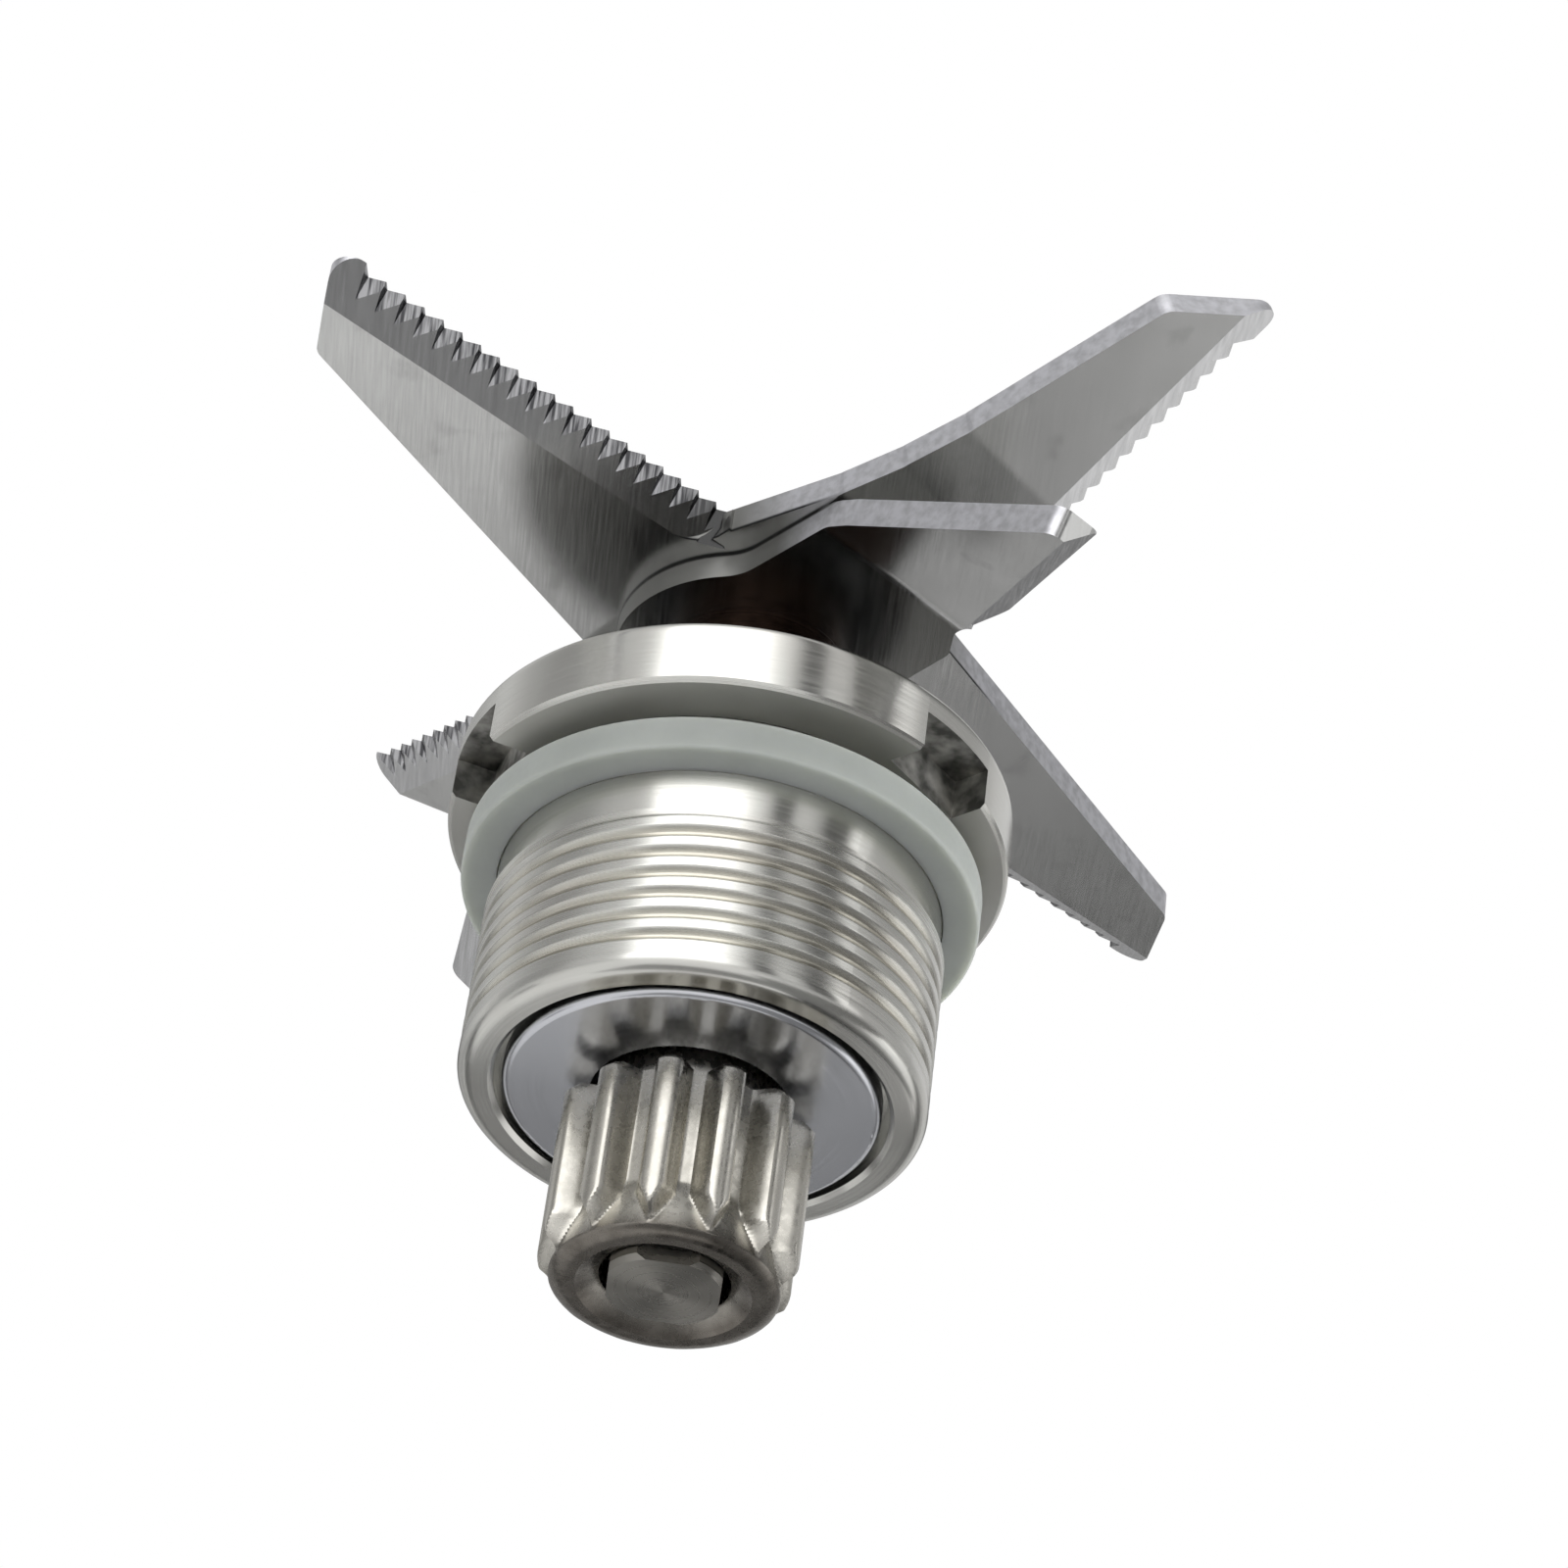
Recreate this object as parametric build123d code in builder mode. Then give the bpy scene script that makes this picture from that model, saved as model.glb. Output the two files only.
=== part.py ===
from build123d import *
import os
from math import atan2, cos, degrees, pi, radians, sin, sqrt, tan

os.makedirs("parts", exist_ok=True)

# Driving dimensions in millimetres and degrees.
# The spindle axis is Z, blades up, and z = 0 is the flange face that looks at the jar.

# Housing: flange, barrel and boss, turned in one piece
flange_radius = 18.5
flange_height = 4.9
flange_rim_chamfer = 0.5
flange_top_round = 0.6
notch_count = 3
notch_width = 6.8
notch_height = 3.0
notch_depth = 2.9
notch_azimuth = -41.5
shoulder_wall = 0.9
barrel_radius = 15.0
barrel_length = 19.6
neck_relief = 0.4
neck_length = 7.3
barrel_end_round = 1.6
barrel_end_land = 2.35
cover_recess_depth = 3.2
boss_radius = 10.0
boss_edge_round = 0.6
boss_foot_round = 1.0
web_thickness = 1.4
web_hole_radius = 5.9

# Gasket on the barrel
gasket_width = 2.35
gasket_thickness = 2.5
gasket_drop = 1.7
gasket_edge_round = 0.5

# Ball bearings, both of one size
bearing_radius = 11.0
bearing_bore_radius = 4.0
bearing_width = 7.0
outer_land_radius = 9.3
inner_land_radius = 5.7
ball_radius = 1.984
ball_pitch_radius = 7.5
ball_count = 7
cage_wall = 1.6
cage_height = 3.6
cage_bridge = 0.5
shield_thickness = 0.3
shield_recess_depth = 0.6
shield_recess_radius = 9.8
spacer_wall = 1.2

# Rotary shaft seal and its spring
seal_radius = 8.5
seal_height = 5.0
seal_wall = 0.9
seal_floor = 1.0
lip_thickness = 0.9
lip_length = 3.0
spring_radius = 0.45

# Cover at the lower end of the barrel
cover_gap = 0.55
cover_thickness = 1.4
cover_hole_radius = 6.5
cover_spigot_radius = 10.4
cover_edge_round = 0.5

# Spindle
seal_journal_radius = 5.0
collar_radius = 6.2
collar_height = 5.2
collar_gap = 0.4
blade_seat_radius = 4.6
blade_seat_flats = 7.2
stud_radius = 3.0
stud_reach = 4.4
drive_square = 7.0
spindle_end_radius = 3.75
spindle_end_taper = 0.4

# Drive spline
tooth_count = 12
tooth_azimuth = -12.0
spline_tip_radius = 8.2
spline_root_radius = 6.2
tooth_land = 1.5
groove_floor = 0.9
spline_length = 12.4
spline_drop = 1.5
spline_neck_radius = 5.4
spline_nose_radius = 7.0
spline_nose_length = 2.6
tooth_point_length = 4.2
countersink_radius = 5.4
countersink_depth = 0.9

# Blade plates
blade_thickness = 2.0
blade_bend_radius = 2.0

# Upper blade: each wing lies along its leading edge, which is ground and toothed
near_flat_azimuth = -143.9
far_flat_azimuth = 36.8
near_raised_azimuth = -54.2
far_raised_azimuth = 122.8
leading_offset = 7.6
trailing_offset = 11.2
far_flat_trailing_offset = 12.3
flat_trailing_taper = 17.0
raised_trailing_taper = 16.35
wing_root = 6.8
wing_reach = 38.4
far_flat_reach = 39.8
far_raised_reach = 35.5
wing_tip_slope = 31.0
far_raised_tip_slope = 22.0
tip_round = 1.3
bevel_width = 3.1
bevel_start = 9.2
bevel_end_round = 2.4
tooth_pitch = 1.55
first_tooth = 9.8
raised_first_tooth = 10.6
teeth_clear_of_tip = 3.2
far_raised_teeth_clear = 1.4
tooth_valley_inset = 0.95
tooth_gentle_share = 0.68
tooth_height = 0.42
groove_angle = 51.0
raised_fold_distance = 18.7
raised_fold_spread = 4.5
raised_fold_direction = 10.4
near_raised_fold_angle = 19.2
far_raised_fold_angle = 15.6

# Lower blade: two smooth wings folded down, with a relief at each fold
lower_near_azimuth = -50.5
lower_far_azimuth = 126.5
lower_hub_radius = 9.6
lower_hub_blend = 4.0
lower_root_width = 14.8
lower_root_length = 15.5
lower_wing_reach = 33.9
lower_trailing_tip = 4.95
lower_leading_tip = 1.8
lower_shoulder = 15.7
lower_shoulder_offset = 6.7
lower_relief_offset = 5.4
lower_relief_start = 11.6
lower_relief_start_offset = 7.0
lower_shoulder_round = 1.0
lower_tip_round = 0.9
lower_bevel_width = 1.9
lower_fold_distance = 13.7
lower_near_fold_angle = 25.5
lower_far_fold_angle = 31.0

# Clamping on top
washer_radius = 6.0
washer_thickness = 1.2
washer_gap = 0.9
nut_across_flats = 10.0
nut_hex_height = 3.2
nut_dome_radius = 4.6
nut_dome_height = 3.2
nut_chamfer_angle = 30.0

# Clearances
seat_clearance = 0.02
bore_clearance = 0.05
ball_clearance = 0.05
lip_clearance = 0.05
shield_clearance = 0.25
cage_clearance = 0.12

# Radii and heights that follow from the sizes above
neck_radius = barrel_radius - neck_relief
gasket_radius = neck_radius + bore_clearance + gasket_width
cover_recess_radius = barrel_radius - barrel_end_land
cover_radius = cover_recess_radius - cover_gap
barrel_end_z = -barrel_length
lower_bearing_z = barrel_end_z + cover_recess_depth
bearing_shoulder_z = flange_height - shoulder_wall
upper_bearing_z = bearing_shoulder_z - bearing_width
seal_floor_z = bearing_shoulder_z + web_thickness
boss_top_z = seal_floor_z + seal_height + collar_gap / 2
collar_z = boss_top_z + collar_gap
blade_seat_z = collar_z + collar_height
upper_blade_z = blade_seat_z + blade_thickness
washer_z = upper_blade_z + blade_thickness
nut_z = washer_z + washer_thickness
spline_top_z = barrel_end_z - spline_drop
spline_end_z = spline_top_z - spline_length


def turned(*outline, mode=Mode.ADD):
    """Revolves a closed outline of radius and height points about the spindle axis."""
    with BuildSketch(Plane.XZ) as section:
        with BuildLine():
            Polyline(*outline, close=True)
        make_face()
    revolve(section.sketch, axis=Axis.Z, mode=mode)


def circle_edges(part, radius, height):
    """Picks the circular edges of one radius at one height."""
    circles = part.edges().filter_by(GeomType.CIRCLE)
    return [
        edge
        for edge in circles
        if abs(edge.radius - radius) < 1e-4 and abs(edge.arc_center.Z - height) < 1e-4
    ]


def finish(builder, name):
    """Labels a finished piece and writes it."""
    builder.part.label = name
    export_step(builder.part, f"parts/{name}.step")


# Housing with its bearing bore, seal pocket and spanner notches
with BuildPart() as housing:
    turned(
        (cover_recess_radius, barrel_end_z),
        (barrel_radius, barrel_end_z),
        (barrel_radius, neck_radius - barrel_radius - neck_length),
        (neck_radius, -neck_length),
        (neck_radius, 0),
        (flange_radius, 0),
        (flange_radius, flange_height),
        (boss_radius, flange_height),
        (boss_radius, boss_top_z),
        (seal_radius, boss_top_z),
        (seal_radius, seal_floor_z),
        (web_hole_radius, seal_floor_z),
        (web_hole_radius, bearing_shoulder_z),
        (bearing_radius, bearing_shoulder_z),
        (bearing_radius, lower_bearing_z),
        (cover_recess_radius, lower_bearing_z),
    )
    fillet(circle_edges(housing.part, barrel_radius, barrel_end_z), barrel_end_round)
    fillet(circle_edges(housing.part, flange_radius, flange_height), flange_top_round)
    fillet(circle_edges(housing.part, boss_radius, flange_height), boss_foot_round)
    fillet(circle_edges(housing.part, boss_radius, boss_top_z), boss_edge_round)
    chamfer(circle_edges(housing.part, flange_radius, 0), flange_rim_chamfer)
    with BuildSketch():
        with PolarLocations(flange_radius - notch_depth, notch_count, start_angle=notch_azimuth):
            Rectangle(2 * notch_depth, notch_width, align=(Align.MIN, Align.CENTER))
    extrude(amount=notch_height, mode=Mode.SUBTRACT)
finish(housing, "housing")

# Gasket gripping the barrel a little below the flange
with BuildPart() as flange_gasket:
    turned(
        (neck_radius + bore_clearance, -gasket_drop - gasket_thickness),
        (gasket_radius, -gasket_drop - gasket_thickness),
        (gasket_radius, -gasket_drop),
        (neck_radius + bore_clearance, -gasket_drop),
    )
    fillet(circle_edges(flange_gasket.part, gasket_radius, -gasket_drop), gasket_edge_round)
    fillet(
        circle_edges(flange_gasket.part, gasket_radius, -gasket_drop - gasket_thickness),
        gasket_edge_round,
    )
finish(flange_gasket, "flange_gasket")

# Two ball bearings: races with their grooves, balls, crown cage and a shield on each side
for place, bearing_z in (("upper", upper_bearing_z), ("lower", lower_bearing_z)):
    middle_z = bearing_z + bearing_width / 2
    top_z = bearing_z + bearing_width
    groove_radius = ball_radius + ball_clearance

    with BuildPart(Plane.XY.offset(middle_z)) as outer_race:
        turned(
            (shield_recess_radius, bearing_z),
            (bearing_radius - seat_clearance, bearing_z),
            (bearing_radius - seat_clearance, top_z),
            (shield_recess_radius, top_z),
            (shield_recess_radius, top_z - shield_recess_depth),
            (outer_land_radius, top_z - shield_recess_depth),
            (outer_land_radius, bearing_z + shield_recess_depth),
            (shield_recess_radius, bearing_z + shield_recess_depth),
        )
        Torus(ball_pitch_radius, groove_radius, mode=Mode.SUBTRACT)
    finish(outer_race, f"{place}_outer_race")

    with BuildPart(Plane.XY.offset(middle_z)) as inner_race:
        turned(
            (bearing_bore_radius + seat_clearance, bearing_z),
            (inner_land_radius, bearing_z),
            (inner_land_radius, top_z),
            (bearing_bore_radius + seat_clearance, top_z),
        )
        Torus(ball_pitch_radius, groove_radius, mode=Mode.SUBTRACT)
    finish(inner_race, f"{place}_inner_race")

    with BuildPart(Plane.XY.offset(middle_z)) as balls:
        with PolarLocations(ball_pitch_radius, ball_count):
            Sphere(ball_radius)
    finish(balls, f"{place}_balls")

    cage_top_z = middle_z + ball_radius + cage_clearance + cage_bridge
    with BuildPart(Plane.XY.offset(middle_z)) as cage:
        turned(
            (ball_pitch_radius - cage_wall / 2, cage_top_z - cage_height),
            (ball_pitch_radius + cage_wall / 2, cage_top_z - cage_height),
            (ball_pitch_radius + cage_wall / 2, cage_top_z),
            (ball_pitch_radius - cage_wall / 2, cage_top_z),
        )
        with PolarLocations(ball_pitch_radius, ball_count):
            Sphere(ball_radius + cage_clearance, mode=Mode.SUBTRACT)
    finish(cage, f"{place}_cage")

    with BuildPart() as shields:
        for shield_z in (
            bearing_z + shield_recess_depth - shield_thickness,
            top_z - shield_recess_depth,
        ):
            turned(
                (inner_land_radius + shield_clearance, shield_z),
                (shield_recess_radius - seat_clearance, shield_z),
                (shield_recess_radius - seat_clearance, shield_z + shield_thickness),
                (inner_land_radius + shield_clearance, shield_z + shield_thickness),
            )
    finish(shields, f"{place}_shields")

# Sleeves that hold the outer and the inner races apart
spacer_z = lower_bearing_z + bearing_width
with BuildPart() as outer_spacer:
    turned(
        (bearing_radius - spacer_wall, spacer_z),
        (bearing_radius - seat_clearance, spacer_z),
        (bearing_radius - seat_clearance, upper_bearing_z),
        (bearing_radius - spacer_wall, upper_bearing_z),
    )
finish(outer_spacer, "outer_spacer")

with BuildPart() as inner_spacer:
    turned(
        (bearing_bore_radius + seat_clearance, spacer_z),
        (bearing_bore_radius + spacer_wall, spacer_z),
        (bearing_bore_radius + spacer_wall, upper_bearing_z),
        (bearing_bore_radius + seat_clearance, upper_bearing_z),
    )
finish(inner_spacer, "inner_spacer")

# Rubber shaft seal: outer wall, floor and a lip that leans in to the spindle
lip_edge_radius = seal_journal_radius + lip_clearance
lip_root_radius = lip_edge_radius + lip_thickness
lip_edge_z = seal_floor_z + lip_length
lip_top_z = lip_edge_z + lip_thickness
spring_seat_radius = lip_root_radius + spring_radius / 2
with BuildPart() as shaft_seal:
    turned(
        (lip_root_radius, seal_floor_z),
        (seal_radius - seat_clearance, seal_floor_z),
        (seal_radius - seat_clearance, seal_floor_z + seal_height),
        (seal_radius - seal_wall, seal_floor_z + seal_height),
        (seal_radius - seal_wall, seal_floor_z + seal_floor),
        (lip_root_radius + lip_thickness, seal_floor_z + seal_floor),
        (spring_seat_radius, lip_edge_z - spring_radius),
        (spring_seat_radius, lip_top_z),
        (lip_edge_radius + lip_thickness / 2, lip_top_z),
        (lip_edge_radius, lip_edge_z),
    )
    with Locations((0, 0, lip_edge_z)):
        Torus(spring_seat_radius, spring_radius + seat_clearance, mode=Mode.SUBTRACT)
finish(shaft_seal, "shaft_seal")

with BuildPart(Plane.XY.offset(lip_edge_z)) as garter_spring:
    Torus(spring_seat_radius, spring_radius)
finish(garter_spring, "garter_spring")

# Cover whose spigot holds the lower outer race up in its bore
with BuildPart() as bearing_cover:
    turned(
        (cover_hole_radius, barrel_end_z),
        (cover_radius, barrel_end_z),
        (cover_radius, barrel_end_z + cover_thickness),
        (cover_spigot_radius, barrel_end_z + cover_thickness),
        (cover_spigot_radius, lower_bearing_z),
        (shield_recess_radius, lower_bearing_z),
        (shield_recess_radius, barrel_end_z + cover_thickness),
        (cover_hole_radius, barrel_end_z + cover_thickness),
    )
    fillet(circle_edges(bearing_cover.part, cover_radius, barrel_end_z), cover_edge_round)
finish(bearing_cover, "bearing_cover")

# Spindle: journals, collar, flatted blade seat, stud for the nut and squared lower end
stud_top_z = nut_z + stud_reach
blade_seat_top_z = washer_z - seat_clearance
with BuildPart() as spindle:
    turned(
        (0, spline_end_z),
        (spindle_end_radius, spline_end_z),
        (bearing_bore_radius, spline_end_z + spindle_end_taper),
        (bearing_bore_radius, bearing_shoulder_z),
        (seal_journal_radius, bearing_shoulder_z),
        (seal_journal_radius, collar_z),
        (collar_radius, collar_z),
        (collar_radius, blade_seat_z),
        (blade_seat_radius, blade_seat_z),
        (blade_seat_radius, blade_seat_top_z),
        (stud_radius, blade_seat_top_z),
        (stud_radius, stud_top_z),
        (0, stud_top_z),
    )
    with BuildSketch(Plane.XY.offset(blade_seat_z)):
        Circle(2 * blade_seat_radius)
        Rectangle(4 * blade_seat_radius, blade_seat_flats, mode=Mode.SUBTRACT)
    extrude(amount=blade_seat_top_z - blade_seat_z, mode=Mode.SUBTRACT)
    with BuildSketch(Plane.XY.offset(spline_end_z)):
        Circle(2 * bearing_bore_radius)
        Rectangle(drive_square, drive_square, mode=Mode.SUBTRACT)
    extrude(amount=spline_top_z - spline_end_z, mode=Mode.SUBTRACT)
finish(spindle, "spindle")

# Drive spline: twelve trapezoid teeth with a bullet nose, pointed at their lower ends where
# each groove runs out over a sloping facet
tooth_angle = 360 / tooth_count
tooth_root_half = pi * spline_root_radius / tooth_count - groove_floor / 2
groove_mouth_half = pi * spline_tip_radius / tooth_count
mouth_slope = atan2(spline_nose_radius - spline_root_radius, tooth_point_length)
groove_angles = [radians(tooth_azimuth + (k + 0.5) * tooth_angle) for k in range(tooth_count)]
groove_planes = [
    Plane(
        origin=(spline_nose_radius * cos(angle), spline_nose_radius * sin(angle), spline_end_z),
        x_dir=(-sin(angle), cos(angle), 0),
        z_dir=(
            cos(mouth_slope) * cos(angle),
            cos(mouth_slope) * sin(angle),
            sin(mouth_slope),
        ),
    )
    for angle in groove_angles
]
with BuildPart() as drive_spline:
    with BuildSketch(Plane.XY.offset(spline_end_z)):
        Circle(spline_root_radius)
        with PolarLocations(0, tooth_count, start_angle=tooth_azimuth):
            Polygon(
                (spline_neck_radius, -tooth_root_half),
                (spline_root_radius, -tooth_root_half),
                (spline_tip_radius, -tooth_land / 2),
                (spline_tip_radius, tooth_land / 2),
                (spline_root_radius, tooth_root_half),
                (spline_neck_radius, tooth_root_half),
                align=None,
            )
        Circle(spline_tip_radius, mode=Mode.INTERSECT)
    extrude(amount=spline_length)
    with BuildSketch(Plane.XZ):
        with BuildLine():
            top_line = Line((0, spline_top_z), (spline_tip_radius, spline_top_z))
            tip_line = Line(top_line @ 1, (spline_tip_radius, spline_end_z + spline_nose_length))
            nose_arc = TangentArc(
                tip_line @ 1, (spline_nose_radius, spline_end_z), tangent=tip_line % 1
            )
            end_line = Line(nose_arc @ 1, (0, spline_end_z))
            Line(end_line @ 1, top_line @ 0)
        make_face()
    revolve(axis=Axis.Z, mode=Mode.INTERSECT)
    turned(
        (0, spline_end_z),
        (spline_nose_radius, spline_end_z),
        (spline_root_radius, spline_end_z + tooth_point_length),
        (0, spline_end_z + tooth_point_length),
    )
    with BuildSketch(*groove_planes):
        Polygon(
            (-groove_mouth_half, 0), (groove_mouth_half, 0), (0, tooth_point_length), align=None
        )
    extrude(amount=spline_tip_radius, mode=Mode.SUBTRACT)
    with BuildSketch(Plane.XY.offset(spline_top_z)):
        Circle(spline_neck_radius)
    extrude(amount=lower_bearing_z - spline_top_z)
    with BuildSketch(Plane.XY.offset(spline_end_z)):
        Rectangle(drive_square + 2 * bore_clearance, drive_square + 2 * bore_clearance)
    extrude(amount=spline_length, mode=Mode.SUBTRACT)
    with BuildSketch(Plane.XY.offset(spline_top_z)):
        Circle(bearing_bore_radius + bore_clearance)
    extrude(amount=lower_bearing_z - spline_top_z, mode=Mode.SUBTRACT)
    turned(
        (0, spline_end_z),
        (countersink_radius, spline_end_z),
        (countersink_radius - countersink_depth, spline_end_z + countersink_depth),
        (0, spline_end_z + countersink_depth),
        mode=Mode.SUBTRACT,
    )
finish(drive_spline, "drive_spline")


def grinding_section(width):
    """Triangle under a bevel that falls from a sharp upper edge over the given width."""
    Polygon(
        (-2 * width, -blade_thickness),
        (width, 2 * blade_thickness),
        (width, -blade_thickness),
        align=None,
    )


def folded(blank, distance, direction, angle):
    """Folds a flat blank about a line across it, upward for a positive angle.

    The line stands at the given distance from the axis, square to the given direction.
    """
    along = Vector(cos(radians(direction)), sin(radians(direction)), 0)
    across = Vector(-along.Y, along.X, 0)
    fold_plane = Plane(origin=along * distance, x_dir=across, z_dir=along)
    inner = split(blank, bisect_by=fold_plane, keep=Keep.BOTTOM)
    outer = split(blank, bisect_by=fold_plane, keep=Keep.TOP)
    if angle > 0:
        hinge_z = blade_thickness + blade_bend_radius
        hinge = Axis(along * distance + Vector(0, 0, hinge_z), across * -1)
    else:
        hinge = Axis(along * distance - Vector(0, 0, blade_bend_radius), across)
    seam = inner.faces().sort_by(Axis((0, 0, 0), along))[-1]
    with BuildPart() as bent:
        add(inner)
        revolve(seam, axis=hinge, revolution_arc=abs(angle))
        add(outer.rotate(hinge, abs(angle)))
    return bent.part


def toothed_wing(reach, trailing, taper, tip_slope, first, tip_clear):
    """One wing of the upper blade, flat, with its leading edge along +X at leading_offset."""
    slope = tan(radians(taper))
    root_y = wing_root * slope - trailing
    tip_y = reach * slope - trailing
    tip_x = reach + (leading_offset - tip_y) * tan(radians(tip_slope))
    with BuildPart() as grind:
        with BuildSketch(Plane.YZ):
            with Locations((leading_offset, 0)):
                grinding_section(bevel_width)
        extrude(amount=2 * reach)
        with BuildSketch(Plane.XY.offset(-blade_thickness)) as ground_area:
            with Locations((bevel_start, leading_offset - bevel_width)):
                Rectangle(2 * reach, 2 * bevel_width, align=(Align.MIN, Align.MIN))
            fillet(ground_area.vertices().sort_by_distance((0, 0))[0], bevel_end_round)
        extrude(amount=3 * blade_thickness, mode=Mode.INTERSECT)
    with BuildPart() as wing:
        with BuildSketch() as outline:
            with BuildLine():
                Polyline(
                    (0, 0),
                    (wing_root, root_y),
                    (reach, tip_y),
                    (tip_x, leading_offset),
                    (0, leading_offset),
                    close=True,
                )
            make_face()
            fillet(outline.vertices().sort_by(Axis.X)[-2:], tip_round)
        extrude(amount=blade_thickness)
        add(grind.part, mode=Mode.SUBTRACT)
        teeth = int((tip_x - tip_clear - first) / tooth_pitch) + 1
        tooth_planes = [
            Plane(
                origin=(
                    first + k * tooth_pitch,
                    leading_offset - tooth_valley_inset,
                    blade_thickness,
                ),
                x_dir=(1, 0, 0),
                z_dir=(0, cos(radians(groove_angle)), sin(radians(groove_angle))),
            )
            for k in range(teeth)
        ]
        with BuildSketch(*tooth_planes):
            Polygon(
                (0, 0),
                (2 * tooth_pitch * (1 - tooth_gentle_share), 2 * tooth_height),
                (-2 * tooth_pitch * tooth_gentle_share, 2 * tooth_height),
                align=None,
            )
        extrude(amount=bevel_width, both=True, mode=Mode.SUBTRACT)
    return wing.part


def rolled_up(wing, angle):
    """Rolls a wing upward by one angle in three folds, the outermost first."""
    for place in (1, 0, -1):
        distance = raised_fold_distance + place * raised_fold_spread
        wing = folded(wing, distance, raised_fold_direction, angle / 3)
    return wing


def blade_seat_hole():
    """Flatted hole that a blade plate is driven by."""
    Circle(blade_seat_radius + bore_clearance)
    Rectangle(
        4 * blade_seat_radius, blade_seat_flats + 2 * bore_clearance, mode=Mode.INTERSECT
    )


# Upper blade: two flat wings and two raised ones, the far raised one with a shorter tip
near_flat_wing = toothed_wing(
    wing_reach,
    trailing_offset,
    flat_trailing_taper,
    wing_tip_slope,
    first_tooth,
    teeth_clear_of_tip,
)
far_flat_wing = toothed_wing(
    far_flat_reach,
    far_flat_trailing_offset,
    flat_trailing_taper,
    wing_tip_slope,
    first_tooth,
    teeth_clear_of_tip,
)
near_raised_blank = toothed_wing(
    wing_reach,
    trailing_offset,
    raised_trailing_taper,
    wing_tip_slope,
    raised_first_tooth,
    teeth_clear_of_tip,
)
near_raised_wing = rolled_up(near_raised_blank, near_raised_fold_angle)
far_raised_blank = toothed_wing(
    far_raised_reach,
    trailing_offset,
    raised_trailing_taper,
    far_raised_tip_slope,
    raised_first_tooth,
    far_raised_teeth_clear,
)
far_raised_wing = rolled_up(far_raised_blank, far_raised_fold_angle)
with BuildPart() as upper_blade:
    for azimuth, wing in (
        (near_flat_azimuth, near_flat_wing),
        (near_raised_azimuth, near_raised_wing),
        (far_flat_azimuth, far_flat_wing),
        (far_raised_azimuth, far_raised_wing),
    ):
        with Locations(Location((0, 0, upper_blade_z), (0, 0, azimuth))):
            add(wing)
    with BuildSketch(Plane.XY.offset(upper_blade_z)):
        blade_seat_hole()
    extrude(amount=blade_thickness, mode=Mode.SUBTRACT)
finish(upper_blade, "upper_blade")

# Lower blade: hub disc with two wings, ground on the leading edge and folded down
lower_root_half = lower_root_width / 2
hub_meets_root = sqrt(lower_hub_radius**2 - lower_root_half**2)
edge_run = Vector(
    lower_wing_reach - lower_shoulder, -lower_leading_tip - lower_shoulder_offset, 0
)
edge_along = edge_run.normalized()
with BuildPart() as lower_blank:
    with BuildSketch() as lower_outline:
        with BuildLine():
            Polyline(
                (0, -lower_root_half),
                (lower_root_length, -lower_root_half),
                (lower_wing_reach, -lower_trailing_tip),
                (lower_wing_reach, -lower_leading_tip),
                (lower_shoulder, lower_shoulder_offset),
                (lower_fold_distance, lower_relief_offset),
                (lower_relief_start, lower_relief_start_offset),
                (0, lower_root_half),
                close=True,
            )
        make_face()
        fillet(lower_outline.vertices().sort_by(Axis.X)[-2:], lower_tip_round)
        for corner in (
            (lower_shoulder, lower_shoulder_offset),
            (lower_fold_distance, lower_relief_offset),
            (lower_relief_start, lower_relief_start_offset),
        ):
            fillet(lower_outline.vertices().sort_by_distance(corner)[0], lower_shoulder_round)
        Circle(lower_hub_radius)
        blend_corner = lower_outline.vertices().sort_by_distance((hub_meets_root, -lower_root_half))
        fillet(blend_corner[0], lower_hub_blend)
    extrude(amount=blade_thickness)
    with BuildSketch(
        Plane(
            origin=Vector(lower_shoulder, lower_shoulder_offset, 0) - edge_along * lower_shoulder_round,
            x_dir=(-edge_along.Y, edge_along.X, 0),
            z_dir=edge_along,
        )
    ):
        grinding_section(lower_bevel_width)
    extrude(amount=2 * edge_run.length, mode=Mode.SUBTRACT)
near_lower_wing = folded(lower_blank.part, lower_fold_distance, 0, -lower_near_fold_angle)
far_lower_wing = folded(lower_blank.part, lower_fold_distance, 0, -lower_far_fold_angle)
with BuildPart() as lower_blade:
    for azimuth, wing in (
        (lower_near_azimuth, near_lower_wing),
        (lower_far_azimuth, far_lower_wing),
    ):
        with Locations(Location((0, 0, blade_seat_z), (0, 0, azimuth))):
            add(wing)
    with BuildSketch(Plane.XY.offset(blade_seat_z)):
        blade_seat_hole()
    extrude(amount=blade_thickness, mode=Mode.SUBTRACT)
finish(lower_blade, "lower_blade")

# Split lock washer under the nut
with BuildPart() as lock_washer:
    with BuildSketch(Plane.XY.offset(washer_z)):
        Circle(washer_radius)
        Circle(stud_radius + bore_clearance, mode=Mode.SUBTRACT)
        Rectangle(
            washer_radius, washer_gap, align=(Align.MIN, Align.CENTER), mode=Mode.SUBTRACT
        )
    extrude(amount=washer_thickness)
finish(lock_washer, "lock_washer")

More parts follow.
